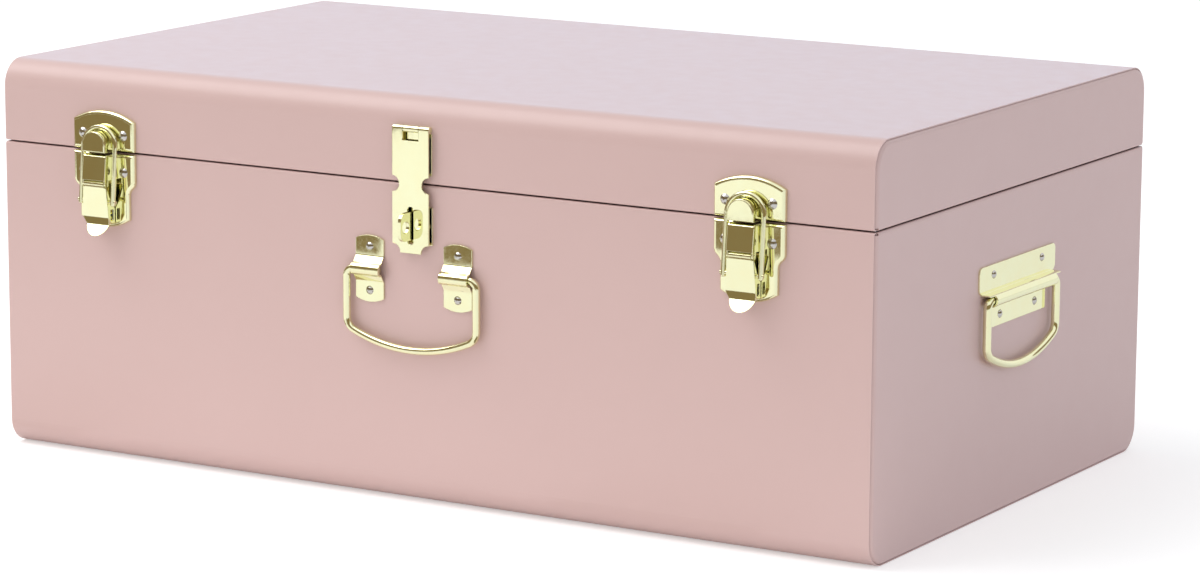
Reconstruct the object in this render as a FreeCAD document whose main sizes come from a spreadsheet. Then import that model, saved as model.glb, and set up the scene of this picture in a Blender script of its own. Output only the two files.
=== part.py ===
import FreeCAD, Part
import math
import os
from types import SimpleNamespace

import Sketcher

# Metal storage trunk. Millimetres, +Z up, +X to the right seen from the front, front at -Y.
# The origin is the middle of the underside.

# Driving sizes: name, value, meaning.
SIZES = [
    ("trunk_length", 602.0, "outside, end panel to end panel"),
    ("trunk_depth", 361.0, "outside, front to back"),
    ("trunk_height", 241.0, "outside, underside to lid top"),
    ("lid_height", 50.0, "lid top down to the middle of the seam"),
    ("seam_gap", 0.8, "between the rolled edges of lid and body"),
    ("sheet_gauge", 0.7, "trunk sheet thickness"),
    ("corner_radius", 16.0, "long edges of lid top and underside"),
    ("roll_radius", 1.6, "outer radius of the rolled edges"),
    ("roll_return", 7.0, "height of the rolled edge's inner leg"),
    ("wrapper_setback", 1.3, "wrapper edge back from the end panel face"),
    ("panel_flange", 12.0, "depth of the end panel's flange"),
    ("panel_bend", 2.5, "outer bend radius of the end panel"),
    ("panel_fit", 0.1, "between an end panel and its wrapper"),
    ("shank_radius", 1.5, "rivet shank"),
    ("shank_fit", 0.05, "rivet shank to its hole"),
    ("tail_radius", 2.5, "closed end of a rivet, inside the wall"),
    ("tail_height", 0.9, "closed end of a rivet, inside the wall"),
    ("dome_radius", 3.1, "large rivet head"),
    ("dome_height", 1.7, "large rivet head"),
    ("small_dome_radius", 2.6, "handle rivet head"),
    ("small_dome_height", 1.3, "handle rivet head"),
    ("flat_head_radius", 2.8, "rivet head under the hasp"),
    ("flat_head_height", 0.8, "rivet head under the hasp"),
    ("latch_inset", 78.0, "trunk end to the middle of a latch"),
    ("latch_width", 45.5, "latch plates"),
    ("latch_rise", 3.0, "raised face of the latch plates from the wall"),
    ("latch_round", 2.2, "rounded edge of the latch plates"),
    ("latch_wall", 1.3, "rim thickness of the latch plates"),
    ("latch_face", 0.9, "face thickness of the latch plates"),
    ("latch_edge_gap", 0.7, "seam to the edge of a latch plate"),
    ("latch_rivet_spacing", 30.0, "between the two rivets of a latch plate"),
    ("catch_shoulder", 19.0, "seam to the catch plate's upper corners"),
    ("catch_arch", 6.0, "rise of the catch plate's arched top"),
    ("catch_rivet_rise", 10.6, "seam to the catch plate's rivets"),
    ("boss_radius", 8.3, "round top of the catch boss"),
    ("boss_straight", 4.4, "straight sides of the catch boss"),
    ("boss_rise", 13.0, "face of the catch boss from the wall"),
    ("boss_edge", 0.7, "rounding of catch boss and housing"),
    ("base_waist", 17.5, "seam down to the base plate's waist"),
    ("base_curve", 8.5, "height of the waist's double curve"),
    ("base_narrow_width", 36.8, "base plate below the waist"),
    ("base_shoulder", 41.0, "seam down to the base plate's lower corners"),
    ("base_arch", 5.5, "drop of the base plate's curved lower edge"),
    ("base_rivet_drop", 11.8, "seam down to the base plate's rivets"),
    ("housing_width", 17.0, "raised housing of the base plate, over its ears"),
    ("housing_top_out", 12.0, "housing face from the wall, at its upper edge"),
    ("housing_foot_out", 13.8, "housing face from the wall, at its foot"),
    ("housing_round", 2.2, "upper edge of the housing"),
    ("housing_gap", 0.4, "housing to the lever's knuckle"),
    ("ear_gauge", 1.1, "ears under the housing that carry the lever pin"),
    ("ear_radius", 1.7, "round end of an ear"),
    ("ear_gap", 0.3, "lever to the ears"),
    ("lever_pin_drop", 18.7, "seam down to the lever pin"),
    ("lever_pin_out", 11.3, "lever pin from the wall"),
    ("lever_pin_radius", 0.9, "lever pin"),
    ("pin_fit", 0.06, "pins and wire ends to their holes"),
    ("lever_width", 17.0, "lever below its knuckle"),
    ("lever_gauge", 1.0, "lever sheet"),
    ("lever_curl", 2.0, "outer radius of the lever's knuckle"),
    ("lever_toe_drop", 38.9, "seam down to the lever's widest place"),
    ("lever_toe_width", 19.0, "lever at its widest"),
    ("lever_toe_in", 0.9, "lean of the lever towards the wall"),
    ("lever_bulge", 1.0, "knuckle in front of the lever's face"),
    ("lever_flange_gap", 0.6, "lever's side flanges to the base plate"),
    ("lever_slot_out", 6.2, "slot in a flange, from the wall"),
    ("lever_slot_width", 3.0, "slot in a flange"),
    ("lever_slot_top", 34.5, "seam down to the slot in a flange"),
    ("lever_slot_length", 6.8, "slot in a flange"),
    ("lever_step_height", 5.0, "step from the lever to its finger tab"),
    ("lever_step_in", 2.2, "step from the lever to its finger tab"),
    ("tab_width", 16.8, "finger tab"),
    ("tab_tip_drop", 50.5, "seam down to the finger tab's tip"),
    ("tab_tip_out", 13.8, "finger tab's tip from the wall"),
    ("bail_wire", 3.2, "latch bail wire, diameter"),
    ("bail_width", 23.6, "between the bail's legs"),
    ("bail_slack", 0.35, "bail to the top of the catch boss"),
    ("bail_top_out", 5.6, "top of the bail from the wall"),
    ("bail_pin_drop", 29.4, "seam down to the bail's pivot"),
    ("bail_pin_out", 9.6, "bail's pivot from the wall"),
    ("bail_pin_radius", 1.2, "pivot stubs of the bail"),
    ("bail_pin_proud", 0.4, "pivot stubs beyond the wire"),
    ("bail_foot", 2.3, "bail wire below its pivot"),
    ("bail_eye", 2.2, "lever metal round the bail's pivot"),
    ("hasp_width", 25.0, "hasp leaves"),
    ("hasp_gauge", 1.0, "hasp sheet"),
    ("hasp_knuckle", 2.0, "outer radius of the hasp's knuckles"),
    ("hasp_pin_radius", 0.9, "hasp pin"),
    ("hasp_pin_rise", 32.4, "seam to the hasp pin"),
    ("hasp_pin_out", 2.3, "hasp pin from the lid"),
    ("hasp_middle", 10.6, "middle knuckle"),
    ("hasp_side_gap", 0.3, "beside the middle knuckle"),
    ("hasp_window_drop", 6.8, "hasp pin to the lower edge of the window"),
    ("hasp_fixed_length", 27.0, "fixed leaf below the pin"),
    ("hasp_rivet_drop", 17.0, "hasp pin to the fixed leaf's rivets"),
    ("hasp_rivet_spacing", 15.0, "between the fixed leaf's rivets"),
    ("hasp_notch", 4.7, "round side notches at the seam"),
    ("hasp_corner", 5.4, "hollow lower corners"),
    ("hasp_end", 16.4, "middle of the staple to the swing leaf's end"),
    ("hasp_slot_length", 22.4, "slot for the staple"),
    ("hasp_slot_width", 4.4, "slot for the staple"),
    ("staple_drop", 24.2, "seam down to the middle of the staple"),
    ("staple_plate_width", 26.0, "staple plate"),
    ("staple_plate_height", 22.4, "staple plate"),
    ("staple_plate_gauge", 1.2, "staple plate"),
    ("staple_rivet_spacing", 17.0, "between the staple plate's rivets"),
    ("staple_gauge", 2.0, "staple"),
    ("staple_height", 16.8, "staple"),
    ("staple_reach", 16.0, "staple tip from the wall"),
    ("staple_round", 5.0, "outer corners of the staple"),
    ("staple_eye_radius", 3.6, "padlock eye"),
    ("staple_eye_out", 10.8, "padlock eye from the wall"),
    ("front_pivot_drop", 52.9, "seam down to the front handle's pivot"),
    ("front_pivot_out", 3.8, "front handle from the wall"),
    ("front_wire", 4.6, "front handle wire, diameter"),
    ("front_width", 90.0, "between the front handle's legs"),
    ("front_drop", 45.4, "pivot to the middle of the hand bar"),
    ("front_elbow", 5.0, "bend at the top of a leg"),
    ("front_knee", 8.0, "bend at the foot of a leg"),
    ("front_bow", 100.0, "radius of the bowed hand bar"),
    ("bracket_spacing", 61.2, "between the two saddle brackets"),
    ("bracket_width", 19.4, "saddle bracket"),
    ("bracket_height", 39.8, "saddle bracket, tip to tip"),
    ("bracket_arch", 2.3, "rise of the bracket's curved ends"),
    ("bracket_gauge", 1.2, "saddle bracket sheet"),
    ("bracket_fit", 0.35, "saddle to the wire"),
    ("bracket_flare", 3.8, "spread of the saddle's foot"),
    ("bracket_rivet_offset", 13.0, "pivot to each bracket rivet"),
    ("bracket_wire_stop", 8.0, "wire end past the middle of the bracket"),
    ("end_pivot_drop", 60.5, "seam down to the end handle's pivot"),
    ("end_pivot_out", 4.2, "end handle from the wall"),
    ("end_wire", 5.0, "end handle wire, diameter"),
    ("end_width", 93.0, "between the end handle's legs"),
    ("end_drop", 42.8, "pivot to the middle of the hand bar"),
    ("end_elbow", 4.5, "bend at the top of a leg"),
    ("end_knee", 8.0, "bend at the foot of a leg"),
    ("end_bow", 100.0, "radius of the bowed hand bar"),
    ("end_wire_stop", 12.0, "wire end inside the barrel"),
    ("end_plate_gauge", 1.1, "end handle plate"),
    ("end_plate_width", 102.0, "end handle plate, upper part"),
    ("end_plate_rise", 19.8, "pivot to the plate's upper edge"),
    ("end_plate_round", 3.5, "corners of the upper part"),
    ("end_barrel_fit", 0.4, "barrel to the wire"),
    ("end_barrel_width", 82.0, "barrel"),
    ("end_roof_gap", 0.2, "barrel's bore up to its roof past the ends"),
    ("end_lower_width", 76.0, "lower part of the plate"),
    ("end_lower_drop", 17.2, "pivot to the plate's lower edge"),
    ("end_upper_rivet_rise", 13.8, "pivot to the upper rivets"),
    ("end_upper_rivet_spacing", 65.0, "between the upper rivets"),
    ("end_lower_rivet_drop", 10.7, "pivot to the lower rivets"),
    ("end_lower_rivet_spacing", 46.8, "between the lower rivets"),
    ("hinge_inset", 111.0, "trunk end to the middle of a hinge"),
    ("hinge_width", 50.0, "hinge leaf"),
    ("hinge_height", 25.0, "hinge leaf from the pin to its edge"),
    ("hinge_gauge", 1.2, "hinge leaf"),
    ("hinge_pin_radius", 1.5, "hinge pin"),
    ("hinge_clearance", 0.35, "knuckle to the wall"),
    ("hinge_middle", 20.0, "middle knuckle"),
    ("hinge_side_gap", 0.4, "round the knuckles"),
    ("hinge_stop_reach", 6.0, "stop lug from the pin"),
    ("hinge_rivet_offset", 15.0, "pin to the rivets"),
    ("hinge_rivet_spacing", 30.0, "between the rivets of a leaf"),
]

doc = FreeCAD.newDocument("Trunk")
sheet = doc.addObject("Spreadsheet::Sheet", "Sizes")
for row, (name, number, meaning) in enumerate(SIZES, start=1):
    sheet.set(f"A{row}", name)
    sheet.set(f"B{row}", str(number))
    sheet.setAlias(f"B{row}", name)
    sheet.set(f"C{row}", meaning)
doc.recompute()


class Size:
    """A length: the number it has now, and the sheet formula that it comes from."""

    def __init__(self, value, formula=None):
        self.value = float(value)
        self.formula = formula or repr(self.value)

    def __add__(self, other):
        other = as_size(other)
        return Size(self.value + other.value, f"({self.formula} + {other.formula})")

    def __sub__(self, other):
        other = as_size(other)
        return Size(self.value - other.value, f"({self.formula} - {other.formula})")

    def __mul__(self, other):
        other = as_size(other)
        return Size(self.value * other.value, f"({self.formula} * {other.formula})")

    def __truediv__(self, other):
        other = as_size(other)
        return Size(self.value / other.value, f"({self.formula} / {other.formula})")

    def __neg__(self):
        return Size(-self.value, f"(-1 * {self.formula})")

    __radd__ = __add__
    __rmul__ = __mul__

    def root(self):
        return Size(math.sqrt(self.value), f"sqrt({self.formula})")


def as_size(number):
    return number if isinstance(number, Size) else Size(number)


size = SimpleNamespace(**{name: Size(sheet.get(name), f"Sizes.{name}") for name, _, _ in SIZES})
ZERO = Size(0)
CLEAR = Size(5)  # how far a cutting outline reaches past what it cuts
ON_AXIS = 1e-9
ON_LEVEL = 1e-4
SIDES = {"left": -1, "right": 1}

seam = size.trunk_height - size.lid_height
half_length = size.trunk_length / 2
half_depth = size.trunk_depth / 2
nodes = []


# Sketch outlines

def arch_bend(chord, rise):
    """Radius of an arc that rises so far over a chord."""
    return (chord * chord / 4 + rise * rise) / (2 * rise)


def bend_of(corner):
    return corner[2] if len(corner) > 2 else None


def mirrored(half, closing_bend=None):
    """A whole outline from its right half, listed from the bottom up."""
    whole = [list(corner) for corner in half]
    if abs(as_size(half[-1][0]).value) < ON_AXIS:
        whole[-1] = [*half[-1][:2], bend_of(half[-2])]
    for index in range(len(half) - 1, -1, -1):
        x, y = half[index][:2]
        if abs(as_size(x).value) < ON_AXIS:
            continue
        bend = bend_of(half[index - 1]) if index else closing_bend
        whole.append([-as_size(x), y, bend])
    return whole


def arc_between(start, end, radius):
    """The shorter arc from start to end, to the left for a positive radius."""
    chord = end - start
    middle = (start + end) * 0.5
    rise = math.sqrt(max(radius * radius - chord.Length ** 2 / 4, 0.0))
    left = FreeCAD.Vector(-chord.y, chord.x, 0).normalize()
    centre = middle + left * math.copysign(rise, radius)
    first, last = (start, end) if radius > 0 else (end, start)
    angles = [math.atan2(p.y - centre.y, p.x - centre.x) for p in (first, last)]
    circle = Part.Circle(centre, FreeCAD.Vector(0, 0, 1), abs(radius))
    return Part.ArcOfCircle(circle, angles[0], angles[1])


def bind(sketch, constraints):
    """Adds constraints, each with the formula that drives it, if it has one."""
    indexes = sketch.addConstraint([constraint for constraint, _ in constraints])
    for index, (_, formula) in zip(indexes, constraints):
        if formula:
            sketch.setExpression(f"Constraints[{index}]", formula)


def draw(sketch, corners, closed=True):
    """Lines and arcs from corner to corner. A corner is (x, y) or (x, y, bend): the bend is the radius
    of an arc to the next corner, turning left, or right where it is negative."""
    corners = [(as_size(c[0]), as_size(c[1]), bend_of(c)) for c in corners]
    points = [FreeCAD.Vector(x.value, y.value, 0) for x, y, _ in corners]
    count = len(corners)
    pieces = []
    rules = []
    for index in range(count if closed else count - 1):
        start, end = points[index], points[(index + 1) % count]
        bend = corners[index][2]
        if bend is None:
            pieces.append((sketch.addGeometry(Part.LineSegment(start, end), False), 1, 2))
            continue
        number = sketch.addGeometry(arc_between(start, end, bend.value), False)
        pieces.append((number, 1, 2) if bend.value > 0 else (number, 2, 1))
        radius = bend if bend.value > 0 else -bend
        rules.append((Sketcher.Constraint("Radius", number, radius.value), radius.formula))
    for index, (number, begin, _) in enumerate(pieces):
        if index or closed:
            before, _, finish = pieces[index - 1]
            rules.append((Sketcher.Constraint("Coincident", before, finish, number, begin), None))
    ends = [(number, begin) for number, begin, _ in pieces]
    if not closed:
        ends.append((pieces[-1][0], pieces[-1][2]))
    for (number, position), (x, y, _) in zip(ends, corners):
        rules.append((Sketcher.Constraint("DistanceX", number, position, x.value), x.formula))
        rules.append((Sketcher.Constraint("DistanceY", number, position, y.value), y.formula))
    bind(sketch, rules)


def draw_circle(sketch, x, y, radius):
    x, y = as_size(x), as_size(y)
    centre = FreeCAD.Vector(x.value, y.value, 0)
    number = sketch.addGeometry(Part.Circle(centre, FreeCAD.Vector(0, 0, 1), radius.value), False)
    bind(sketch, [
        (Sketcher.Constraint("DistanceX", number, 3, x.value), x.formula),
        (Sketcher.Constraint("DistanceY", number, 3, y.value), y.formula),
        (Sketcher.Constraint("Radius", number, radius.value), radius.formula),
    ])


def box_corners(left, right, low, high):
    return [(left, low), (right, low), (right, high), (left, high)]


# Bodies and features

def on_wall(wall, along):
    """Base point and turn of a frame on an outer wall: its -Y points out of the trunk."""
    if wall == "front":
        return along, -half_depth, 0
    if wall == "back":
        return -along, half_depth, 180
    if wall == "right":
        return half_length, along, 90
    return -half_length, -along, -90


def place(item, x, y, z, turn):
    item.Placement = FreeCAD.Placement(FreeCAD.Vector(), FreeCAD.Rotation(FreeCAD.Vector(0, 0, 1), turn))
    for axis, distance in zip("xyz", (x, y, z)):
        item.setExpression(f"Placement.Base.{axis}", as_size(distance).formula)


def new_body(label, wall=None, along=ZERO):
    body = doc.addObject("PartDesign::Body", label)
    body.Label = label
    if wall:
        x, y, turn = on_wall(wall, along)
        place(body, x, y, ZERO, turn)
    nodes.append(body)
    return body


def sketch_on(body, plane, offset=None):
    """A sketch on one of the body's own planes, moved along its normal: X for YZ, -Y for XZ, Z for XY."""
    origin_plane = next(item for item in body.Origin.OriginFeatures if item.Role == f"{plane}_Plane")
    sketch = body.newObject("Sketcher::SketchObject", "Outline")
    sketch.AttachmentSupport = [(origin_plane, "")]
    sketch.MapMode = "FlatFace"
    if offset is not None:
        sketch.setExpression("AttachmentOffset.Base.z", as_size(offset).formula)
    return sketch


def outline_on(body, plane, corners, offset=None):
    sketch = sketch_on(body, plane, offset)
    draw(sketch, corners)
    return sketch


def pad(body, sketch, length, both=False, back=False):
    feature = body.newObject("PartDesign::Pad", "Pad")
    feature.Profile = sketch
    feature.SideType = "Symmetric" if both else "One side"
    feature.Reversed = back
    feature.setExpression("Length", length.formula)
    doc.recompute()
    return feature


def cut(body, sketch, length=None, along_normal=False):
    """Cuts right through where no length is given. Stops if nothing was cut."""
    before = body.Shape.Volume
    feature = body.newObject("PartDesign::Pocket", "Pocket")
    feature.Profile = sketch
    feature.Reversed = along_normal
    if length is None:
        feature.SideType = "Symmetric"
        feature.Type = "ThroughAll"
    else:
        feature.setExpression("Length", length.formula)
    doc.recompute()
    if body.Shape.Volume >= before:
        raise RuntimeError(f"{body.Label}: a cut removed nothing")


def edges_where(shape, wanted):
    """Names of the edges all of whose sample points pass the test."""
    names = []
    for index, edge in enumerate(shape.Edges, start=1):
        first, last = edge.ParameterRange
        samples = [edge.valueAt(first + (last - first) * share) for share in (0.0, 0.35, 0.7, 1.0)]
        if all(wanted(point) for point in samples):
            names.append(f"Edge{index}")
    return names


def level_edges(axis, level, besides=None):
    """A test for edges that lie at one level of an axis, leaving out those at another (axis, level)."""
    def wanted(point):
        here = abs(getattr(point, axis) - level.value) < ON_LEVEL
        left_out = besides and abs(getattr(point, besides[0]) - besides[1].value) < ON_LEVEL
        return here and not left_out
    return wanted


def line_edges(**levels):
    """A test for edges that lie at a level of each axis given, on either side of the middle."""
    def wanted(point):
        return all(abs(abs(getattr(point, axis)) - level.value) < ON_LEVEL for axis, level in levels.items())
    return wanted


def soften(body, radius, wanted):
    """A fillet on the edges of the body that pass the test."""
    doc.recompute()
    base = body.Tip
    feature = body.newObject("PartDesign::Fillet", "Fillet")
    feature.Base = (base, edges_where(base.Shape, wanted))
    feature.setExpression("Radius", radius.formula)
    doc.recompute()


def drill(body, plane, spots, radius, length, offset=None, along_normal=False):
    sketch = sketch_on(body, plane, offset)
    for x, y in spots:
        draw_circle(sketch, x, y, radius)
    cut(body, sketch, length, along_normal)


def keep_inside(body, corners, width, low, high):
    """Trims what lies outside an outline, seen from the front of the wall."""
    sketch = outline_on(body, "XZ", box_corners(-width - CLEAR, width + CLEAR, low - CLEAR, high + CLEAR))
    draw(sketch, corners)
    cut(body, sketch)


def bent_wire(body, path_plane, path_offset, path, section_plane, section_offset, section_centre, diameter):
    """A round wire along lines and arcs."""
    spine = sketch_on(body, path_plane, path_offset)
    draw(spine, path, closed=False)
    section = sketch_on(body, section_plane, section_offset)
    draw_circle(section, *section_centre, diameter / 2)
    doc.recompute()
    feature = body.newObject("PartDesign::AdditivePipe", "Wire")
    feature.Profile = section
    feature.Spine = (spine, [f"Edge{index}" for index in range(1, len(path))])
    doc.recompute()


def pin_along_x(label, radius, length, wall, along, out, height):
    pin = doc.addObject("Part::Cylinder", label)
    pin.Label = label
    pin.setExpression("Radius", radius.formula)
    pin.setExpression("Height", length.formula)
    x, y, _ = on_wall(wall, along)
    outward = 1 if wall == "back" else -1
    place(pin, x - length / 2, y + outward * out, height, 0)
    pin.Placement.Rotation = FreeCAD.Rotation(FreeCAD.Vector(0, 1, 0), 90)
    nodes.append(pin)


# Rivets: a head outside, a shank through plate and wall, and a closed tail inside

def rivet_profile(name, head_radius, head_height, plate_face, domed):
    """Half section of a rivet that lies along Y, with the wall's outer face at 0 and -Y outwards."""
    inner = size.sheet_gauge
    head = plate_face + head_height
    rim = plate_face if domed else head
    corners = [
        (ZERO, inner + size.tail_height),
        (ZERO, -head),
        (size.shank_radius, -head),
        (head_radius, -rim),
        (head_radius, -plate_face),
        (size.shank_radius, -plate_face),
        (size.shank_radius, inner),
        (size.tail_radius, inner),
        (size.tail_radius, inner + size.tail_height),
    ]
    if domed:
        dome = arch_bend(2 * head_radius, head_height)
        corners[1:5] = [(ZERO, -head, dome), (head_radius, -plate_face)]
    sketch = doc.addObject("Sketcher::SketchObject", name)
    draw(sketch, corners)
    return sketch


def rivets(label, profile, wall_spots):
    """One node of rivets, each at (wall, distance along the wall, height)."""
    items = []
    for wall, along, height in wall_spots:
        rivet = doc.addObject("Part::Revolution", "Rivet")
        rivet.Source = profile
        rivet.Axis = FreeCAD.Vector(0, 1, 0)
        rivet.Angle = 360
        rivet.Solid = True
        x, y, turn = on_wall(wall, as_size(along))
        place(rivet, x, y, height, turn)
        items.append(rivet)
    group = doc.addObject("Part::Compound", label)
    group.Label = label
    group.Links = items
    nodes.append(group)


def pair(spacing):
    return [-spacing / 2, spacing / 2]


# Rivet places, used by the walls, the plates and the rivets themselves
hole_radius = size.shank_radius + size.shank_fit
catch_rivet_height = seam + size.catch_rivet_rise
base_rivet_height = seam - size.base_rivet_drop
latch_middles = {"left": size.latch_inset - half_length, "right": half_length - size.latch_inset}
latch_rivet_places = [middle + spot for middle in latch_middles.values()
                      for spot in pair(size.latch_rivet_spacing)]
hasp_pin_height = seam + size.hasp_pin_rise
hasp_rivet_height = hasp_pin_height - size.hasp_rivet_drop
staple_height = seam - size.staple_drop
front_pivot_height = seam - size.front_pivot_drop
bracket_middles = {"left": -size.bracket_spacing / 2, "right": size.bracket_spacing / 2}
bracket_rivet_heights = [front_pivot_height - size.bracket_rivet_offset,
                         front_pivot_height + size.bracket_rivet_offset]
end_pivot_height = seam - size.end_pivot_drop
end_rivet_spots = (
    [(spot, end_pivot_height + size.end_upper_rivet_rise) for spot in pair(size.end_upper_rivet_spacing)]
    + [(spot, end_pivot_height - size.end_lower_rivet_drop) for spot in pair(size.end_lower_rivet_spacing)])
hinge_middles = {"left": size.hinge_inset - half_length, "right": half_length - size.hinge_inset}
hinge_rivet_places = [middle + spot for middle in hinge_middles.values()
                      for spot in pair(size.hinge_rivet_spacing)]
hinge_rivet_heights = {"lid": seam + size.hinge_rivet_offset, "body": seam - size.hinge_rivet_offset}
front_holes = {
    "lid": [(x, catch_rivet_height) for x in latch_rivet_places]
    + [(x, hasp_rivet_height) for x in pair(size.hasp_rivet_spacing)],
    "body": [(x, base_rivet_height) for x in latch_rivet_places]
    + [(x, staple_height) for x in pair(size.staple_rivet_spacing)]
    + [(x, z) for x in bracket_middles.values() for z in bracket_rivet_heights],
}


# Trunk shells. "way" is 1 for the body, built up from the underside, and -1 for the lid, built down.

def rolled_edge(across, level, rim, way):
    """Section of a rolled edge, from the outer face round to the sheet's inner face. "across" gives the
    place at a distance in from the outer face."""
    roll, gauge = size.roll_radius, size.sheet_gauge
    return [
        (across(ZERO), level(rim - roll), way * roll),
        (across(roll), level(rim), way * roll),
        (across(2 * roll), level(rim - roll)),
        (across(2 * roll), level(rim - size.roll_return)),
        (across(2 * roll - gauge), level(rim - size.roll_return)),
        (across(2 * roll - gauge), level(rim - roll), -way * (roll - gauge)),
        (across(roll), level(rim - gauge), -way * (roll - gauge)),
        (across(gauge), level(rim - roll)),
    ]


def wrapper(part, flat, way, rim):
    """One sheet folded into front, flat panel and back, with rolled edges along the seam."""
    body = new_body(f"{part}_wrapper")
    radius, gauge = size.corner_radius, size.sheet_gauge

    def level(height):
        return flat + way * as_size(height)

    def inwards(distance):
        return half_depth - distance

    half = [
        (half_depth - radius, level(0), way * radius),
        (half_depth, level(radius)),
        *rolled_edge(inwards, level, rim, way),
        (half_depth - gauge, level(radius), -way * (radius - gauge)),
        (half_depth - radius, level(gauge)),
    ]
    length = size.trunk_length - 2 * size.wrapper_setback
    pad(body, outline_on(body, "YZ", mirrored(half)), length, both=True)
    depth = 2 * gauge
    drill(body, "XZ", front_holes[part], hole_radius, depth, offset=half_depth)
    back_holes = [(x, hinge_rivet_heights[part]) for x in hinge_rivet_places]
    drill(body, "XZ", back_holes, hole_radius, depth, offset=-half_depth, along_normal=True)


def end_panel(part, side, flat, way, rim):
    """A pressed pan let into the wrapper's end, with a flange round three sides and a rolled edge."""
    body = new_body(f"{part}_end_{side}")
    sign = SIDES[side]
    gauge, roll = size.sheet_gauge, size.roll_radius
    outer_y = half_depth - gauge - size.panel_fit
    foot = gauge + size.panel_fit
    radius = size.corner_radius - foot
    face = sign * half_length
    inner_face = sign * (half_length - gauge)

    def level(height):
        return flat + way * as_size(height)

    def inwards(distance):
        return sign * (half_length - distance)

    def pan(inset, top):
        return mirrored([
            (outer_y - radius, level(foot + inset), way * (radius - inset)),
            (outer_y - inset, level(foot + radius)),
            (outer_y - inset, level(top)),
        ])

    top = rim - roll
    pad(body, outline_on(body, "YZ", pan(ZERO, top), face), size.panel_flange, back=sign > 0)
    hollow = outline_on(body, "YZ", pan(gauge, top + CLEAR), inner_face)
    cut(body, hollow, size.panel_flange, along_normal=sign < 0)
    soften(body, size.panel_bend - gauge, level_edges("x", inner_face, ("z", level(top))))
    soften(body, size.panel_bend, level_edges("x", face, ("z", level(top))))
    roll_width = size.trunk_depth - 4 * roll - 2 * size.panel_fit
    pad(body, outline_on(body, "XZ", rolled_edge(inwards, level, rim, way * sign)), roll_width, both=True)
    if part == "body":
        holes = [(sign * y, z) for y, z in end_rivet_spots]
        drill(body, "YZ", holes, hole_radius, 2 * gauge, offset=face, along_normal=sign < 0)


half_gap = size.seam_gap / 2
wrapper("body", ZERO, 1, seam - half_gap)
wrapper("lid", size.trunk_height, -1, size.lid_height - half_gap)
for side in SIDES:
    end_panel("body", side, ZERO, 1, seam - half_gap)
    end_panel("lid", side, size.trunk_height, -1, size.lid_height - half_gap)


# Draw latches

lever_pin_height = seam - size.lever_pin_drop
bail_pin_height = seam - size.bail_pin_drop
boss_middle = seam + size.latch_edge_gap + size.boss_straight


def tray(body, outline, hollow):
    """A plate raised from the wall, hollow behind and rounded off in front."""
    pad(body, outline_on(body, "XZ", outline), size.latch_rise)
    cut(body, outline_on(body, "XZ", hollow), size.latch_rise - size.latch_face, along_normal=True)
    soften(body, size.latch_round, level_edges("y", -size.latch_rise))


def drill_plate(body, spots, plate_face):
    drill(body, "XZ", spots, hole_radius, plate_face + CLEAR, along_normal=True)


def catch_plate(side):
    body = new_body(f"latch_{side}_catch_plate", "front", latch_middles[side])
    wall = size.latch_wall
    low = seam + size.latch_edge_gap
    shoulder = seam + size.catch_shoulder

    def outline(inset):
        right = size.latch_width / 2 - inset
        return mirrored([(right, low + inset),
                         (right, shoulder - inset, arch_bend(2 * right, size.catch_arch))])

    tray(body, outline(ZERO), outline(wall))
    boss = mirrored([
        (size.boss_radius, low),
        (size.boss_radius, boss_middle, size.boss_radius),
        (ZERO, boss_middle + size.boss_radius),
    ])
    root = size.latch_rise - size.latch_face
    pad(body, outline_on(body, "XZ", boss, root), size.boss_rise - root)
    soften(body, size.boss_edge, level_edges("y", -size.boss_rise))
    drill_plate(body, [(x, catch_rivet_height) for x in pair(size.latch_rivet_spacing)], size.latch_rise)


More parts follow.
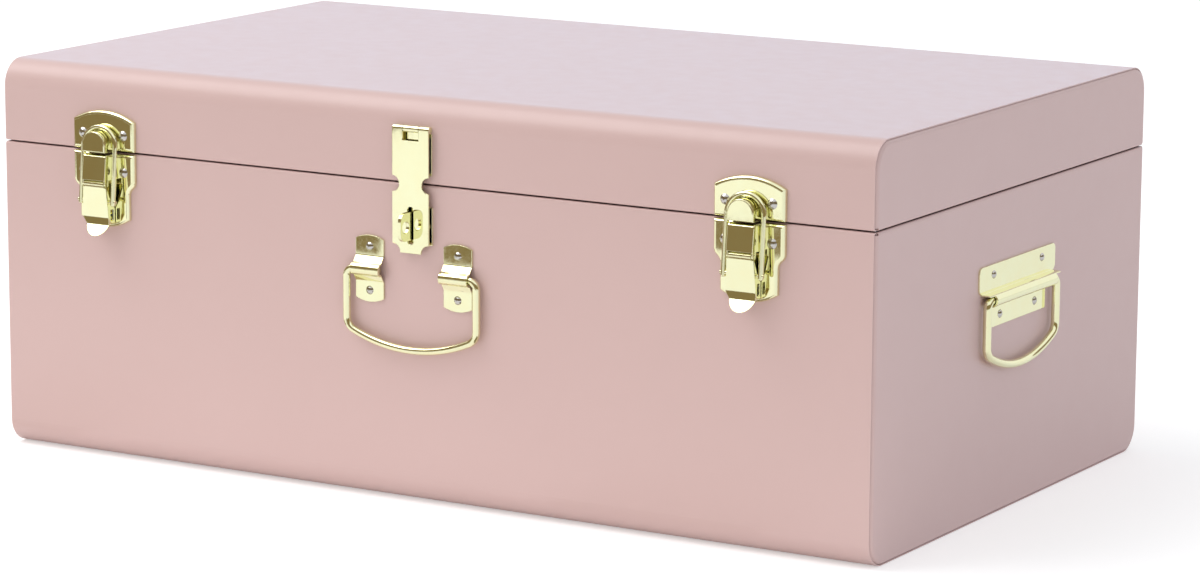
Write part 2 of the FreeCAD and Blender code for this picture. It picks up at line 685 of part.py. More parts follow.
def base_plate(side):
    """A plate with a raised housing, whose ears carry the lever pin."""
    body = new_body(f"latch_{side}_base_plate", "front", latch_middles[side])
    high = seam - size.latch_edge_gap
    curve_top = seam - size.base_waist
    curve_foot = curve_top - size.base_curve
    corner = seam - size.base_shoulder
    wide, narrow = size.latch_width / 2, size.base_narrow_width / 2
    curve_in = (wide - narrow) / 2
    curve_bend = arch_bend(size.base_curve, curve_in)

    def outline(inset):
        return mirrored([
            (narrow - inset, corner + inset),
            (narrow - inset, curve_foot, -curve_bend),
            ((wide + narrow) / 2 - inset, (curve_top + curve_foot) / 2, curve_bend),
            (wide - inset, curve_top),
            (wide - inset, high - inset),
        ], arch_bend(2 * (narrow - inset), size.base_arch))

    tray(body, outline(ZERO), outline(size.latch_wall))
    half_housing = size.housing_width / 2
    housing_foot = lever_pin_height + size.lever_curl + size.housing_gap

    top_out, foot_out, wall = size.housing_top_out, size.housing_foot_out, size.latch_wall
    root = size.latch_rise - size.latch_face

    def beside_face(point):
        """Whether a point is on one of the two side edges of the housing's leaning face."""
        share = (high.value - point.z) / (high - housing_foot).value
        face = top_out.value + (foot_out - top_out).value * share
        return abs(abs(point.x) - half_housing.value) < ON_LEVEL and abs(face + point.y) < ON_LEVEL

    housing = [(-root, housing_foot), (-root, high), (-top_out, high), (-foot_out, housing_foot)]
    pad(body, outline_on(body, "YZ", housing), size.housing_width, both=True)
    soften(body, size.housing_round, line_edges(y=top_out, z=high))
    soften(body, size.boss_edge, beside_face)
    room = box_corners(wall - half_housing, half_housing - wall, housing_foot + wall, high - wall)
    cut(body, outline_on(body, "XZ", room), top_out - wall, along_normal=True)
    ear_back = size.lever_pin_out - size.ear_radius
    ear_front = size.lever_pin_out + size.ear_radius
    ear_root = housing_foot + size.latch_wall
    ear = [
        (-ear_front, ear_root),
        (-ear_front, lever_pin_height, size.ear_radius),
        (-size.lever_pin_out, lever_pin_height - size.ear_radius, size.ear_radius),
        (-ear_back, lever_pin_height),
        (-ear_back, ear_root),
    ]
    for sign in SIDES.values():
        sketch = outline_on(body, "YZ", ear, sign * (half_housing - size.ear_gauge))
        draw_circle(sketch, -size.lever_pin_out, lever_pin_height, size.lever_pin_radius + size.pin_fit)
        pad(body, sketch, size.ear_gauge, back=sign < 0)
    drill_plate(body, [(x, base_rivet_height) for x in pair(size.latch_rivet_spacing)], size.latch_rise)


def lever(side):
    """A channel rolled round its pin at the top, with a finger tab stepped off its lower end."""
    body = new_body(f"latch_{side}_lever", "front", latch_middles[side])
    gauge, curl, out = size.lever_gauge, size.lever_curl, size.lever_pin_out
    face = out + curl - size.lever_bulge
    face_top = lever_pin_height - (curl * curl - (face - out) * (face - out)).root()
    inside = face - gauge - out
    toe = seam - size.lever_toe_drop
    toe_out = face - size.lever_toe_in
    step = toe - size.lever_step_height
    step_out = toe_out - size.lever_step_in
    tip = seam - size.tab_tip_drop
    tip_out = size.tab_tip_out
    past_tip = (tip_out - step_out) / (step - tip) * gauge
    # Shares of the gauge that keep the sheet even round its bends
    toe_lift, step_back, tip_back = 0.25, 1.15, 1.2
    side_view = [
        (-tip_out - past_tip, tip - gauge),
        (-tip_out - past_tip + tip_back * gauge, tip - gauge),
        (-step_out + step_back * gauge, step),
        (-toe_out + gauge, toe + toe_lift * gauge),
        (-face + gauge, lever_pin_height - (curl * curl - inside * inside).root(), curl),
        (-out + curl, lever_pin_height, curl),
        (-out, lever_pin_height + curl, curl),
        (-out - curl, lever_pin_height, curl),
        (-face, face_top),
        (-toe_out, toe),
        (-step_out, step),
    ]
    sketch = outline_on(body, "YZ", side_view)
    draw_circle(sketch, -out, lever_pin_height, size.lever_pin_radius + size.pin_fit)
    pad(body, sketch, size.lever_toe_width, both=True)
    half_tab = size.tab_width / 2
    half_knuckle = size.housing_width / 2 - size.ear_gauge - size.ear_gap
    shoulder = lever_pin_height - size.ear_radius - size.ear_gap
    top = lever_pin_height + curl
    front_view = mirrored([
        (ZERO, tip, half_tab),
        (half_tab, tip + half_tab),
        (half_tab, step),
        (size.lever_toe_width / 2, toe - gauge),
        (size.lever_toe_width / 2, toe + gauge),
        (size.lever_width / 2, shoulder),
        (half_knuckle, shoulder),
        (half_knuckle, top + gauge),
    ])
    keep_inside(body, front_view, size.lever_toe_width / 2, tip, top)
    bail_out, eye = size.bail_pin_out, size.bail_eye
    shoulder_out = face - size.lever_toe_in * (face_top - shoulder) / (face_top - toe)
    flange_back = size.latch_rise + size.lever_flange_gap
    flange_foot = step + gauge
    flange = [
        (-bail_out + eye, bail_pin_height),
        (-shoulder_out + gauge, shoulder),
        (-shoulder_out, shoulder),
        (-toe_out, toe),
        (-step_out, flange_foot),
        (-flange_back, flange_foot),
        (-flange_back, bail_pin_height - 2 * eye),
    ]
    slot_top = seam - size.lever_slot_top
    half_slot = size.lever_slot_width / 2
    slot = box_corners(-size.lever_slot_out - half_slot, -size.lever_slot_out + half_slot,
                       slot_top - size.lever_slot_length, slot_top)
    for sign in SIDES.values():
        sketch = outline_on(body, "YZ", flange, sign * (size.lever_width / 2 - gauge))
        draw(sketch, slot)
        draw_circle(sketch, -bail_out, bail_pin_height, size.bail_pin_radius + size.pin_fit)
        pad(body, sketch, gauge, back=sign < 0)


def bail(side):
    """A wire loop that leans from its pivot on the lever in over the catch boss."""
    body = new_body(f"latch_{side}_bail")
    place(body, latch_middles[side], -half_depth - size.bail_pin_out, bail_pin_height, 0)
    rise = boss_middle + size.boss_radius + size.bail_slack + size.bail_wire / 2 - bail_pin_height
    lean = size.bail_pin_out - size.bail_top_out
    reach = (rise * rise + lean * lean).root()
    lean_axis = FreeCAD.Vector(-1, 0, 0)
    body.Placement.Rotation = FreeCAD.Rotation(lean_axis, 1)  # its angle follows on the next line
    body.setExpression("Placement.Rotation.Angle", f"atan({(lean / rise).formula})")
    radius, foot = size.bail_width / 2, -size.bail_foot
    path = [
        (-radius, foot),
        (-radius, reach - radius, -radius),
        (ZERO, reach, -radius),
        (radius, reach - radius),
        (radius, foot),
    ]
    bent_wire(body, "XZ", ZERO, path, "XY", foot, (-radius, ZERO), size.bail_wire)
    soften(body, size.bail_wire / 4, level_edges("z", foot))
    stub_inner = size.lever_width / 2 - size.lever_gauge
    stub_outer = radius + size.bail_wire / 2 + size.bail_pin_proud
    for sign in SIDES.values():
        sketch = sketch_on(body, "YZ", sign * stub_inner)
        draw_circle(sketch, ZERO, ZERO, size.bail_pin_radius)
        pad(body, sketch, stub_outer - stub_inner, back=sign < 0)


for side in SIDES:
    catch_plate(side)
    base_plate(side)
    lever(side)
    bail(side)
    pin_along_x(f"latch_{side}_lever_pin", size.lever_pin_radius, size.housing_width, "front",
                latch_middles[side], size.lever_pin_out, lever_pin_height)
latch_rivet = rivet_profile("LatchRivet", size.dome_radius, size.dome_height, size.latch_rise, True)
rivets("latch_lid_rivets", latch_rivet, [("front", x, catch_rivet_height) for x in latch_rivet_places])
rivets("latch_body_rivets", latch_rivet, [("front", x, base_rivet_height) for x in latch_rivet_places])


# Hasp and staple

def leaf_profile(knuckle, out, height, way, near, far, end):
    """Side view of a leaf whose knuckle wraps a pin: "way" 1 where the leaf hangs below the pin, -1 above.
    The leaf lies between the distances near and far from the wall, and ends at the given height."""
    turn = way * knuckle
    start = height - way * (knuckle * knuckle - (out - far) * (out - far)).root()
    return [
        (-near, end),
        (-near, height),
        (-out + knuckle, height, turn),
        (-out, height + way * knuckle, turn),
        (-out - knuckle, height, turn),
        (-out, height - way * knuckle, turn),
        (-far, start),
        (-far, end),
    ]


def hasp_fixed_leaf():
    body = new_body("hasp_fixed_leaf", "front")
    knuckle, out = size.hasp_knuckle, size.hasp_pin_out
    end = hasp_pin_height - size.hasp_fixed_length
    profile = leaf_profile(knuckle, out, hasp_pin_height, 1, ZERO, size.hasp_gauge, end)
    sketch = outline_on(body, "YZ", profile)
    draw_circle(sketch, -out, hasp_pin_height, size.hasp_pin_radius + size.pin_fit)
    pad(body, sketch, size.hasp_width, both=True)
    shoulder = hasp_pin_height - knuckle - size.hasp_side_gap
    notches = sketch_on(body, "XZ")
    for sign in SIDES.values():
        inner, outer = sign * size.hasp_middle / 2, sign * (size.hasp_width / 2 + CLEAR)
        draw(notches, box_corners(inner, outer, shoulder, hasp_pin_height + knuckle + CLEAR))
    cut(body, notches)
    drill_plate(body, [(x, hasp_rivet_height) for x in pair(size.hasp_rivet_spacing)], size.hasp_gauge)


def hasp_swing_leaf():
    body = new_body("hasp_swing_leaf", "front")
    knuckle, out = size.hasp_knuckle, size.hasp_pin_out
    end = staple_height - size.hasp_end
    front = out + knuckle
    back = front - size.hasp_gauge
    top = hasp_pin_height + knuckle
    side_view = [
        (-front, end),
        (-back, end),
        (-back, hasp_pin_height - (knuckle * knuckle - (back - out) * (back - out)).root(), knuckle),
        (-out, hasp_pin_height - knuckle, knuckle),
        (-out + knuckle, hasp_pin_height, knuckle),
        (-out, top, knuckle),
        (-front, hasp_pin_height),
    ]
    sketch = outline_on(body, "YZ", side_view)
    draw_circle(sketch, -out, hasp_pin_height, size.hasp_pin_radius + size.pin_fit)
    pad(body, sketch, size.hasp_width, both=True)
    half_window = size.hasp_middle / 2 + size.hasp_side_gap
    half_width = size.hasp_width / 2
    cuts = sketch_on(body, "XZ")
    draw(cuts, box_corners(-half_window, half_window, hasp_pin_height - size.hasp_window_drop, top + CLEAR))
    half_slot = size.hasp_slot_width / 2
    slot_end = size.hasp_slot_length / 2 - half_slot
    draw(cuts, mirrored([
        (ZERO, staple_height - slot_end - half_slot, half_slot),
        (half_slot, staple_height - slot_end),
        (half_slot, staple_height + slot_end, half_slot),
        (ZERO, staple_height + slot_end + half_slot),
    ]))
    for sign in SIDES.values():
        draw_circle(cuts, sign * half_width, seam, size.hasp_notch)
        draw_circle(cuts, sign * half_width, end, size.hasp_corner)
    cut(body, cuts)


def staple_plate():
    body = new_body("staple_plate", "front")
    half_width, half_height = size.staple_plate_width / 2, size.staple_plate_height / 2
    corners = box_corners(-half_width, half_width, staple_height - half_height, staple_height + half_height)
    pad(body, outline_on(body, "XZ", corners), size.staple_plate_gauge)
    drill_plate(body, [(x, staple_height) for x in pair(size.staple_rivet_spacing)], size.staple_plate_gauge)


def staple():
    body = new_body("staple", "front")
    half_height = size.staple_height / 2
    root, reach, corner = size.staple_plate_gauge, size.staple_reach, size.staple_round
    profile = [
        (-root, staple_height - half_height),
        (-root, staple_height + half_height),
        (-reach + corner, staple_height + half_height, corner),
        (-reach, staple_height + half_height - corner),
        (-reach, staple_height - half_height + corner, corner),
        (-reach + corner, staple_height - half_height),
    ]
    sketch = outline_on(body, "YZ", profile)
    draw_circle(sketch, -size.staple_eye_out, staple_height, size.staple_eye_radius)
    pad(body, sketch, size.staple_gauge, both=True)


hasp_fixed_leaf()
hasp_swing_leaf()
pin_along_x("hasp_pin", size.hasp_pin_radius, size.hasp_width, "front", ZERO, size.hasp_pin_out,
            hasp_pin_height)
staple_plate()
staple()
hasp_rivet = rivet_profile("HaspRivet", size.flat_head_radius, size.flat_head_height, size.hasp_gauge, False)
rivets("hasp_lid_rivets", hasp_rivet,
       [("front", x, hasp_rivet_height) for x in pair(size.hasp_rivet_spacing)])
staple_rivet = rivet_profile("StapleRivet", size.flat_head_radius, size.flat_head_height,
                             size.staple_plate_gauge, False)
rivets("staple_rivets", staple_rivet, [("front", x, staple_height) for x in pair(size.staple_rivet_spacing)])


# Handles

def handle_path(width, pivot, drop, elbow, knee, bow, start):
    """Half a bent handle, doubled: in from the pivot, down a leg, round the knee and along the bowed bar."""
    leg = width / 2
    bar = pivot - drop
    rise = ((bow - knee) * (bow - knee) - (leg - knee) * (leg - knee)).root()
    knee_height = bar + bow - rise
    share = bow / (bow - knee)
    left = [
        (-start, pivot),
        (-leg + elbow, pivot, elbow),
        (-leg, pivot - elbow),
        (-leg, knee_height, knee),
        (-(leg - knee) * share, bar + bow - rise * share, bow),
        (ZERO, bar),
    ]
    right = []
    for index in range(len(left) - 2, -1, -1):
        x, z = left[index][:2]
        right.append((-x, z, bend_of(left[index - 1]) if index else None))
    left[-1] = (ZERO, bar, bow)
    return left + right


def handle(label, wall, out, wire, path):
    body = new_body(label, wall)
    start, pivot = path[0][:2]
    bent_wire(body, "XZ", out, path, "YZ", start, (-out, pivot), wire)


def saddle_bracket(side):
    body = new_body(f"front_handle_bracket_{side}", "front", bracket_middles[side])
    gauge, out, pivot = size.bracket_gauge, size.front_pivot_out, front_pivot_height
    inner = size.front_wire / 2 + size.bracket_fit
    outer = inner + gauge
    half_height = size.bracket_height / 2
    slope = size.bracket_flare / (out - gauge)
    foot = inner + slope * out
    upper = [
        (ZERO, pivot + half_height),
        (-gauge, pivot + half_height),
        (-gauge, pivot + outer + size.bracket_flare),
        (-out, pivot + outer, outer),
        (-out - outer, pivot, outer),
    ]
    inside = [
        (ZERO, pivot - foot),
        (-out, pivot - inner, -inner),
        (-out - inner, pivot, -inner),
        (-out, pivot + inner),
        (ZERO, pivot + foot),
    ]
    lower = [
        (-out, pivot - outer),
        (-gauge, pivot - outer - size.bracket_flare),
        (-gauge, pivot - half_height),
        (ZERO, pivot - half_height),
    ]
    pad(body, outline_on(body, "YZ", upper + lower + inside), size.bracket_width, both=True)
    crease = [pivot + outer + size.bracket_flare, pivot - outer - size.bracket_flare]
    for height in crease:
        soften(body, gauge, level_edges("z", height))
    half_width = size.bracket_width / 2
    corner = half_height - size.bracket_arch
    arch = arch_bend(size.bracket_width, size.bracket_arch)
    front_view = mirrored([(half_width, pivot - corner), (half_width, pivot + corner, arch)], arch)
    keep_inside(body, front_view, half_width, pivot - half_height, pivot + half_height)
    drill_plate(body, [(ZERO, z) for z in bracket_rivet_heights], gauge)


for side in SIDES:
    saddle_bracket(side)
handle("front_handle", "front", size.front_pivot_out, size.front_wire,
       handle_path(size.front_width, front_pivot_height, size.front_drop, size.front_elbow, size.front_knee,
                   size.front_bow, size.bracket_spacing / 2 - size.bracket_wire_stop))
bracket_rivet = rivet_profile("BracketRivet", size.small_dome_radius, size.small_dome_height,
                              size.bracket_gauge, True)
rivets("front_handle_rivets", bracket_rivet,
       [("front", x, z) for x in bracket_middles.values() for z in bracket_rivet_heights])


def end_handle_plate(side):
    """A plate bent out over the wire as a barrel, whose roof goes on past its ends over the legs."""
    body = new_body(f"end_handle_{side}_plate", side)
    gauge, out, pivot = size.end_plate_gauge, size.end_pivot_out, end_pivot_height
    inner = size.end_wire / 2 + size.end_barrel_fit
    outer = inner + gauge
    roof = pivot + outer
    roof_foot = pivot + inner + size.end_roof_gap
    high = pivot + size.end_plate_rise
    low = pivot - size.end_lower_drop
    side_view = [
        (ZERO, high),
        (-gauge, high),
        (-gauge, roof),
        (-out, roof, outer),
        (-out - outer, pivot, outer),
        (-out, pivot - outer),
        (-gauge, pivot - outer),
        (-gauge, low),
        (ZERO, low),
        (ZERO, pivot - inner),
        (-out, pivot - inner, -inner),
        (-out - inner, pivot, -inner),
        (-out, pivot + inner),
        (ZERO, pivot + inner),
    ]
    pad(body, outline_on(body, "YZ", side_view), size.end_plate_width, both=True)
    half_plate, half_barrel = size.end_plate_width / 2, size.end_barrel_width / 2
    half_lower, corner = size.end_lower_width / 2, size.end_plate_round
    front_view = mirrored([
        (half_lower, low - CLEAR),
        (half_lower, pivot - outer),
        (half_barrel, pivot - outer),
        (half_barrel, roof_foot),
        (half_plate - corner, roof_foot),
        (half_plate - corner, roof, corner),
        (half_plate, roof + corner),
        (half_plate, high - corner, corner),
        (half_plate - corner, high),
    ])
    keep_inside(body, front_view, half_plate, low - CLEAR, high)
    drill_plate(body, end_rivet_spots, gauge)


end_rivet = rivet_profile("EndRivet", size.small_dome_radius, size.small_dome_height,
                          size.end_plate_gauge, True)
for side in SIDES:
    end_handle_plate(side)
    handle(f"end_handle_{side}", side, size.end_pivot_out, size.end_wire,
           handle_path(size.end_width, end_pivot_height, size.end_drop, size.end_elbow, size.end_knee,
                       size.end_bow, size.end_barrel_width / 2 - size.end_wire_stop))
    rivets(f"end_handle_{side}_rivets", end_rivet, [(side, y, z) for y, z in end_rivet_spots])


# Hinges

hinge_knuckle = size.hinge_pin_radius + size.pin_fit + size.hinge_gauge
hinge_out = hinge_knuckle + size.hinge_clearance


def hinge_leaf(part, side):
    """A leaf on the back wall. The lid leaf has the middle knuckle, with a lug that stops the open lid."""
    body = new_body(f"hinge_{side}_{part}_leaf", "back", -hinge_middles[side])
    way = 1 if part == "body" else -1
    end = seam - way * size.hinge_height
    profile = leaf_profile(hinge_knuckle, hinge_out, seam, way, ZERO, size.hinge_gauge, end)
    sketch = outline_on(body, "YZ", profile)
    draw_circle(sketch, -hinge_out, seam, size.hinge_pin_radius + size.pin_fit)
    pad(body, sketch, size.hinge_width, both=True)
    near = seam - way * (hinge_knuckle + size.hinge_side_gap)
    far = seam + way * (hinge_knuckle + CLEAR)
    half_middle, half_width = size.hinge_middle / 2, size.hinge_width / 2
    gaps = sketch_on(body, "XZ")
    if part == "body":
        room = half_middle + size.hinge_side_gap
        draw(gaps, box_corners(-room, room, near, far))
    else:
        for sign in SIDES.values():
            draw(gaps, box_corners(sign * half_middle, sign * (half_width + CLEAR), near, far))
    cut(body, gaps)
    if part == "lid":
        half_gauge = size.hinge_gauge / 2
        lug_root = hinge_out + size.hinge_pin_radius + size.pin_fit + half_gauge
        lug_tip = hinge_out + size.hinge_stop_reach
        lug = box_corners(-lug_tip, -lug_root, seam - half_gauge, seam + half_gauge)
        pad(body, outline_on(body, "YZ", lug), size.hinge_middle, both=True)
    holes = [(x, hinge_rivet_heights[part]) for x in pair(size.hinge_rivet_spacing)]
    drill_plate(body, holes, size.hinge_gauge)


hinge_rivet = rivet_profile("HingeRivet", size.dome_radius, size.dome_height, size.hinge_gauge, True)
for side in SIDES:
    hinge_leaf("body", side)
    hinge_leaf("lid", side)
    pin_along_x(f"hinge_{side}_pin", size.hinge_pin_radius, size.hinge_width, "back", -hinge_middles[side],
                hinge_out, seam)
for part in ("lid", "body"):
    rivets(f"hinge_{part}_rivets", hinge_rivet,
           [("back", -x, hinge_rivet_heights[part]) for x in hinge_rivet_places])


# Check everything, then write one file for each node

doc.recompute()
for item in doc.Objects:
    if "Invalid" in item.State or "Error" in item.State:
        raise RuntimeError(f"{item.Label} failed: {item.State}")
for node in nodes:
    if node.Shape.isNull() or not node.Shape.isValid() or not node.Shape.Solids:
        raise RuntimeError(f"{node.Label} has no valid solid")
os.makedirs("parts", exist_ok=True)
for node in nodes:
    node.Shape.exportStep(f"parts/{node.Label}.step")
    print(node.Label, len(node.Shape.Solids), round(node.Shape.Volume, 1))
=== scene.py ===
import math

import bpy
from mathutils import Matrix, Vector


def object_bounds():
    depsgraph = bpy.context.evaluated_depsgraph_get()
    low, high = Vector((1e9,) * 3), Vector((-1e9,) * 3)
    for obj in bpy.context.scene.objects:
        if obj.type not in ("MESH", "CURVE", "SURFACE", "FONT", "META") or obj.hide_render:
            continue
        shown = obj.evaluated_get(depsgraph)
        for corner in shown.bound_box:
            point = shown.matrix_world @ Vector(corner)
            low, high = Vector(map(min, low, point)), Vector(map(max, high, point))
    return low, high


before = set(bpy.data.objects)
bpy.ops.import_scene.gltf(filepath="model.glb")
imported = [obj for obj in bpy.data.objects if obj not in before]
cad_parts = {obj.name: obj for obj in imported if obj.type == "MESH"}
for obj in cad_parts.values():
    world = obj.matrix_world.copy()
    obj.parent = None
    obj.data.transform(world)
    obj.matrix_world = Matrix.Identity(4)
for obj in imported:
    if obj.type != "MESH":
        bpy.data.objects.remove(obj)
cad_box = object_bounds()

# Looks of a painted sheet-metal trunk with polished, plated hardware. Metres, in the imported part's frame.

MM = 0.001

# Finishes, as linear colours
PAINT = (0.660, 0.462, 0.434)
PAINT_SHADE = (0.640, 0.445, 0.418)
PLATING = (0.880, 0.900, 0.615)
PLATING_SHADE = (0.885, 0.845, 0.520)
RIVET = (0.640, 0.625, 0.600)
RIVET_SHADE = (0.520, 0.500, 0.475)
PLATING_EDGE = 0.5 * MM

# Stage: colours, and how strongly world and floor glow by themselves to the eye, to gloss and as light
WHITE = (1, 1, 1)
FLOOR = (0.82, 0.82, 0.82)
FLOOR_ROUGHNESS = 0.9
FLOOR_REACH = 14.0
WORLD_GLOW = {"camera": 1.0, "gloss": 1.0, "lighting": 0.62}
FLOOR_GLOW = {"camera": 0.40, "gloss": 0.20, "lighting": 0.12}
# Glow of the painted dark reflections: cards that only gloss sees, for dark bands in the polished metal
PAINTED_DARK_REFLECTION = (0.255, 0.190, 0.100)
# Glow of the painted cool reflection on the lid's top, brighter than white
PAINTED_COOL_REFLECTION = (0.97, 1.26, 1.58)
COOL_LIGHT = (0.45, 0.70, 1.0)

# Camera, at the photograph's viewing angle, with its angles in radians
PHOTO_WIDTH = 1200
FOCAL_PIXELS = 4347.0
SENSOR = 36.0
CAMERA_PLACE = Vector((1.36373, -2.26646, 0.61015))
CAMERA_AZIMUTH = 0.5356
CAMERA_ELEVATION = 0.1917
CAMERA_ROLL = 0.0054
CAMERA_REACH = 100


# Shader helpers

class Shader:
    """A material with one principled surface, and short names for the nodes that feed it."""

    NOISE_LOW = 0.3
    NOISE_HIGH = 0.7
    BEVEL_SAMPLES = 4

    def __init__(self, name):
        self.material = bpy.data.materials.new(name)
        self.material.use_nodes = True
        self.tree = self.material.node_tree
        self.surface = self.tree.nodes["Principled BSDF"]
        self.place = self.add("ShaderNodeTexCoord").outputs["Object"]

    def add(self, kind, settings=None, **inputs):
        """A new node, with its settings and its inputs; an input's name has _ for each space."""
        node = self.tree.nodes.new(kind)
        for key, value in (settings or {}).items():
            setattr(node, key, value)
        for key, value in inputs.items():
            self.feed(node.inputs[key.replace("_", " ")], value)
        return node

    def feed(self, socket, value):
        """Link another node's output to a socket, or set a plain value on it."""
        if isinstance(value, bpy.types.NodeSocket):
            self.tree.links.new(value, socket)
        else:
            socket.default_value = value

    def noise(self, feature, detail=3.0, roughness=0.5):
        """Soft noise whose features are about so many metres wide."""
        node = self.add("ShaderNodeTexNoise", Vector=self.place, Scale=1 / feature, Detail=detail,
                        Roughness=roughness)
        return node.outputs["Fac"]

    def between(self, factor, low, high):
        """A number that runs from low to high over the middle of a noise."""
        node = self.add("ShaderNodeMapRange", Value=factor, From_Min=self.NOISE_LOW, From_Max=self.NOISE_HIGH,
                        To_Min=low, To_Max=high)
        return node.outputs["Result"]

    def blend(self, factor, first, second):
        """A colour between two others."""
        node = self.add("ShaderNodeMixRGB", Fac=factor, Color1=(*first, 1), Color2=(*second, 1))
        return node.outputs["Color"]

    def bumps(self, *layers, edge=None):
        """Layers of bump, each (height, depth), one on the other, over edges that a radius may round."""
        normal = None
        if edge:
            bevel = self.add("ShaderNodeBevel", {"samples": self.BEVEL_SAMPLES}, Radius=edge)
            normal = bevel.outputs["Normal"]
        for height, depth in layers:
            node = self.add("ShaderNodeBump", Height=height, Distance=depth, Strength=1.0)
            if normal:
                self.feed(node.inputs["Normal"], normal)
            normal = node.outputs["Normal"]
        self.feed(self.surface.inputs["Normal"], normal)

    def set(self, **inputs):
        """Values or links for the surface's own inputs."""
        for key, value in inputs.items():
            self.feed(self.surface.inputs[key.replace("_", " ")], value)


# Finishes of the pieces

def painted_sheet():
    """Satin powder coat: a faint mottle, a fine orange peel and the slow waves of folded sheet."""
    look = Shader("satin_paint")
    mottle = look.noise(60 * MM, detail=4)
    sheen = look.noise(12 * MM)
    peel = look.noise(1.1 * MM, detail=2)
    waves = look.noise(160 * MM, detail=1)
    look.set(Base_Color=look.blend(mottle, PAINT_SHADE, PAINT),
             Roughness=look.between(sheen, 0.34, 0.40), IOR=1.5)
    look.bumps((waves, 0.25 * MM), (peel, 0.006 * MM))
    return look.material


def plated_hardware():
    """Bright plating over pressed steel: near mirror, with polishing haze and a slight ripple."""
    look = Shader("pale_gold_plating")
    tone = look.noise(9 * MM, detail=3)
    haze = look.noise(3.5 * MM, detail=5, roughness=0.6)
    ripple = look.noise(12 * MM, detail=1)
    grain = look.noise(0.6 * MM, detail=2)
    look.set(Base_Color=look.blend(tone, PLATING_SHADE, PLATING), Metallic=1.0,
             Roughness=look.between(haze, 0.025, 0.055))
    look.bumps((ripple, 0.008 * MM), (grain, 0.0004 * MM), edge=PLATING_EDGE)
    return look.material


def rivet_metal():
    """Plain set rivets: bright, with small dents from the tool."""
    look = Shader("rivet_silver")
    tone = look.noise(1.6 * MM, detail=4)
    dents = look.noise(2.2 * MM, detail=2)
    look.set(Base_Color=look.blend(tone, RIVET_SHADE, RIVET), Metallic=1.0,
             Roughness=look.between(tone, 0.12, 0.22))
    look.bumps((dents, 0.10 * MM))
    return look.material


finishes = {
    "painted_sheet": painted_sheet(),
    "plated_hardware": plated_hardware(),
    "rivet_metal": rivet_metal(),
}
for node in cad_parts.values():
    for holder in node.material_slots:
        holder.material = finishes[holder.material.name.split(".")[0]]


# Background and floor

def strength_by_ray(tree, camera, gloss, lighting):
    """A strength with one value for the camera, one for gloss and glass, and one for lighting."""
    path = tree.nodes.new("ShaderNodeLightPath")
    strength = None
    for ray, value in (("Is Camera Ray", camera), ("Is Glossy Ray", gloss), ("Is Transmission Ray", gloss)):
        chosen = tree.nodes.new("ShaderNodeMapRange")
        chosen.inputs["To Min"].default_value = lighting
        chosen.inputs["To Max"].default_value = value
        if strength:
            tree.links.new(strength, chosen.inputs["To Min"])
        tree.links.new(path.outputs[ray], chosen.inputs["Value"])
        strength = chosen.outputs["Result"]
    return strength


def white_world():
    """A white surrounding that gives soft light from all sides."""
    world = bpy.data.worlds.new("studio")
    world.use_nodes = True
    tree = world.node_tree
    background = tree.nodes["Background"]
    background.inputs["Color"].default_value = (*WHITE, 1)
    tree.links.new(strength_by_ray(tree, **WORLD_GLOW), background.inputs["Strength"])
    return world


def pale_floor():
    """A white floor that stays white to the eye and still takes the shadow."""
    material = bpy.data.materials.new("pale_floor")
    material.use_nodes = True
    tree = material.node_tree
    surface = tree.nodes["Principled BSDF"]
    surface.inputs["Base Color"].default_value = (*FLOOR, 1)
    surface.inputs["Roughness"].default_value = FLOOR_ROUGHNESS
    surface.inputs["Emission Color"].default_value = (*WHITE, 1)
    tree.links.new(strength_by_ray(tree, **FLOOR_GLOW), surface.inputs["Emission Strength"])
    return material


def stage_panel(name, corners, faces, material):
    """A sheet of the stage, made from its corners and faces."""
    mesh = bpy.data.meshes.new(name)
    mesh.from_pydata(corners, [], faces)
    item = bpy.data.objects.new(name, mesh)
    item.data.materials.append(material)
    bpy.context.scene.collection.objects.link(item)
    return item


ONE_FACE = [(0, 1, 2, 3)]
floor_level = cad_box[0].z
floor_corners = [(x * FLOOR_REACH, y * FLOOR_REACH, floor_level)
                 for x, y in ((-1, -1), (1, -1), (1, 1), (-1, 1))]

bpy.context.scene.world = white_world()
stage_panel("floor", floor_corners, ONE_FACE, pale_floor())


# Soft studio light

def soft_light(name, place, aim, size, power, colour=WHITE, glints=True):
    """A rectangular lamp of a width and a height, in watts; without glints, gloss doesn't show it."""
    data = bpy.data.lights.new(name, "AREA")
    data.shape = "RECTANGLE"
    data.size, data.size_y = size
    data.energy = power
    data.color = colour
    item = bpy.data.objects.new(name, data)
    bpy.context.scene.collection.objects.link(item)
    item.location = place
    item.rotation_mode = "QUATERNION"
    item.rotation_quaternion = (Vector(aim) - Vector(place)).to_track_quat("-Z", "Y")
    item.visible_camera = False
    item.visible_glossy = glints


middle = (cad_box[0] + cad_box[1]) / 2
soft_light("top", place=(-1.35, -0.75, 2.4), aim=middle, size=(2.2, 1.8), power=36)
soft_light("front", place=(-1.2, -2.6, 1.2), aim=middle, size=(2.4, 1.4), power=7, glints=False)

# Light that the floor throws up at the foot of the front
soft_light("bounce", place=(0.0, -0.32, 0.002), aim=(0.0, -0.32, 1.0), size=(0.9, 0.26), power=0.28,
           glints=False)

soft_light("right", place=(3.0, 0.3, 1.0), aim=middle, size=(1.8, 1.4), power=13, colour=COOL_LIGHT,
           glints=False)


# Painted reflections: glowing cards that only gloss sees; dark ones paint dark bands into polished metal, a
# cool one paints a cool reflection on the lid's top

ARC_STEPS = 24
ARC_EYE_LEVEL = 0.1
DARK_DISTANCE = 3.6
COOL_DISTANCE = 4.0
CARD_LIFT = 0.5 * MM


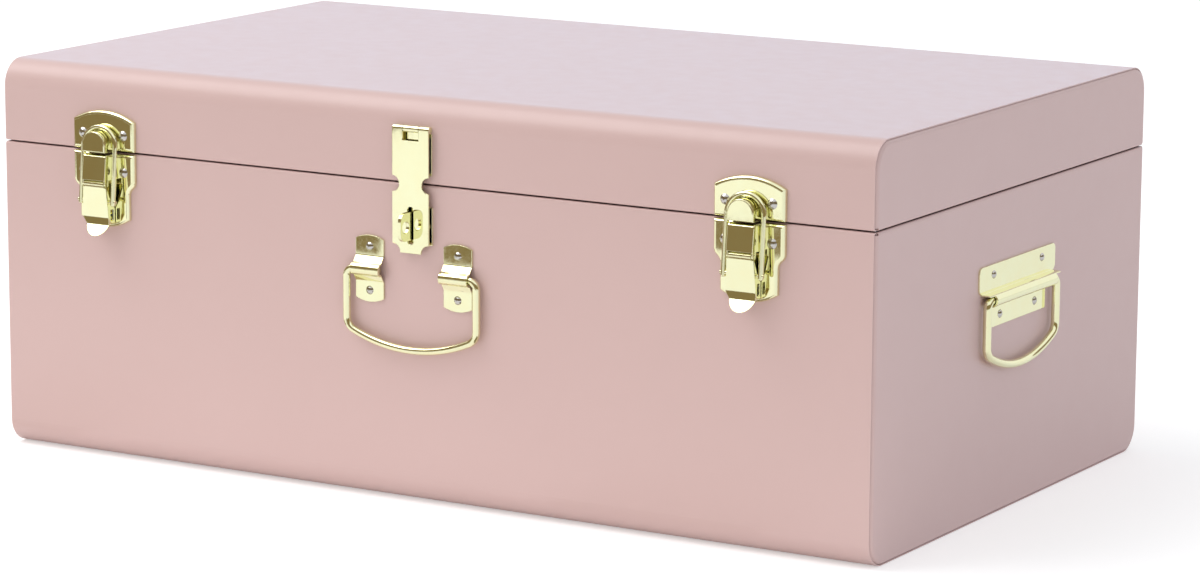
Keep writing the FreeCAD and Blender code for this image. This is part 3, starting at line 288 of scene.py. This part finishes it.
def painted_reflection_material(name, glow):
    """A matt black card that glows in one colour, as a painted reflection."""
    material = bpy.data.materials.new(name)
    material.use_nodes = True
    surface = material.node_tree.nodes["Principled BSDF"]
    surface.inputs["Base Color"].default_value = (0, 0, 0, 1)
    surface.inputs["Roughness"].default_value = 1.0
    surface.inputs["Specular IOR Level"].default_value = 0.0
    surface.inputs["Emission Color"].default_value = (*glow, 1)
    surface.inputs["Emission Strength"].default_value = 1.0
    return material


def card(name, corners, faces, material):
    """A sheet of the stage that shows in gloss alone, as a painted reflection."""
    item = stage_panel(name, corners, faces, material)
    for ray in ("camera", "diffuse", "transmission", "shadow", "volume_scatter"):
        setattr(item, f"visible_{ray}", False)


def standing_arc(name, distance, bearings, elevations, material):
    """A strip of painted reflection round the trunk, between two bearings from straight ahead and two
    elevations, in degrees.
    """
    start, end = bearings
    corners = []
    for step in range(ARC_STEPS + 1):
        bearing = math.radians(start + (end - start) * step / ARC_STEPS)
        for elevation in elevations:
            corners.append((distance * math.sin(bearing), -distance * math.cos(bearing),
                            ARC_EYE_LEVEL + distance * math.tan(math.radians(elevation))))
    faces = [(2 * step, 2 * step + 2, 2 * step + 3, 2 * step + 1) for step in range(ARC_STEPS)]
    card(name, corners, faces, material)


def floor_card(name, near, far, material):
    """A card of painted reflection lying just over the floor; its near and far edges are each (y, left,
    right).
    """
    level = floor_level + CARD_LIFT
    near_y, near_left, near_right = near
    far_y, far_left, far_right = far
    corners = [(near_left, near_y, level), (near_right, near_y, level), (far_right, far_y, level),
               (far_left, far_y, level)]
    card(name, corners, ONE_FACE, material)


dark = painted_reflection_material("dark_reflection_glow", PAINTED_DARK_REFLECTION)
cool = painted_reflection_material("cool_reflection_glow", PAINTED_COOL_REFLECTION)

# Painted dark reflections: strips round the horizon, ahead, to the left and to the right
standing_arc("horizon_dark_reflection", DARK_DISTANCE, bearings=(-70, 75), elevations=(1, 37), material=dark)
standing_arc("left_horizon_dark_reflection", DARK_DISTANCE, bearings=(-112, -70), elevations=(1, 26), material=dark)
standing_arc("right_horizon_dark_reflection", DARK_DISTANCE, bearings=(75, 145), elevations=(1, 26), material=dark)
# Painted cool reflection: a glowing strip behind on the left, seen in the lid's top
standing_arc("rear_left_cool_reflection", COOL_DISTANCE, bearings=(-175, -125), elevations=(1, 28), material=cool)

# Painted dark reflections: patches lying on the floor in front of and left of the trunk, for the latches,
# their feet and the handle brackets
floor_card("far_floor_dark_reflection", near=(-1.50, -3.2, 1.2), far=(-3.5, -3.2, 1.2), material=dark)
floor_card("left_floor_dark_reflection", near=(0.60, -3.2, -1.25), far=(-1.50, -3.2, -1.25), material=dark)
floor_card("left_latch_floor_dark_reflection", near=(-0.97, -1.25, -0.80), far=(-1.50, -1.25, -0.80), material=dark)
floor_card("right_latch_floor_dark_reflection", near=(-1.00, -0.40, -0.18), far=(-1.13, -0.40, -0.18), material=dark)
floor_card("left_latch_foot_dark_reflection", near=(-0.19, -0.40, -0.26), far=(-0.32, -0.40, -0.26), material=dark)
floor_card("right_latch_foot_dark_reflection", near=(-0.19, 0.08, 0.22), far=(-0.32, 0.08, 0.22), material=dark)
floor_card("left_bracket_floor_dark_reflection", near=(-0.84, -0.50, -0.462), far=(-0.96, -0.58, -0.538), material=dark)
floor_card("right_bracket_floor_dark_reflection", near=(-0.84, -0.408, -0.36), far=(-0.96, -0.484, -0.43), material=dark)


# Camera

camera_data = bpy.data.cameras.new("camera")
camera_data.sensor_fit = "HORIZONTAL"
camera_data.sensor_width = SENSOR
camera_data.lens = FOCAL_PIXELS * SENSOR / PHOTO_WIDTH
camera_data.clip_end = CAMERA_REACH
camera = bpy.data.objects.new("camera", camera_data)
bpy.context.scene.collection.objects.link(camera)
level_reach = math.cos(CAMERA_ELEVATION)
forward = Vector((-math.sin(CAMERA_AZIMUTH) * level_reach, math.cos(CAMERA_AZIMUTH) * level_reach,
                  -math.sin(CAMERA_ELEVATION)))
turn = forward.to_track_quat("-Z", "Y").to_matrix() @ Matrix.Rotation(CAMERA_ROLL, 3, "Z")
camera.matrix_world = Matrix.Translation(CAMERA_PLACE) @ turn.to_4x4()
bpy.context.scene.camera = camera

bpy.context.scene.view_settings.view_transform = "Standard"
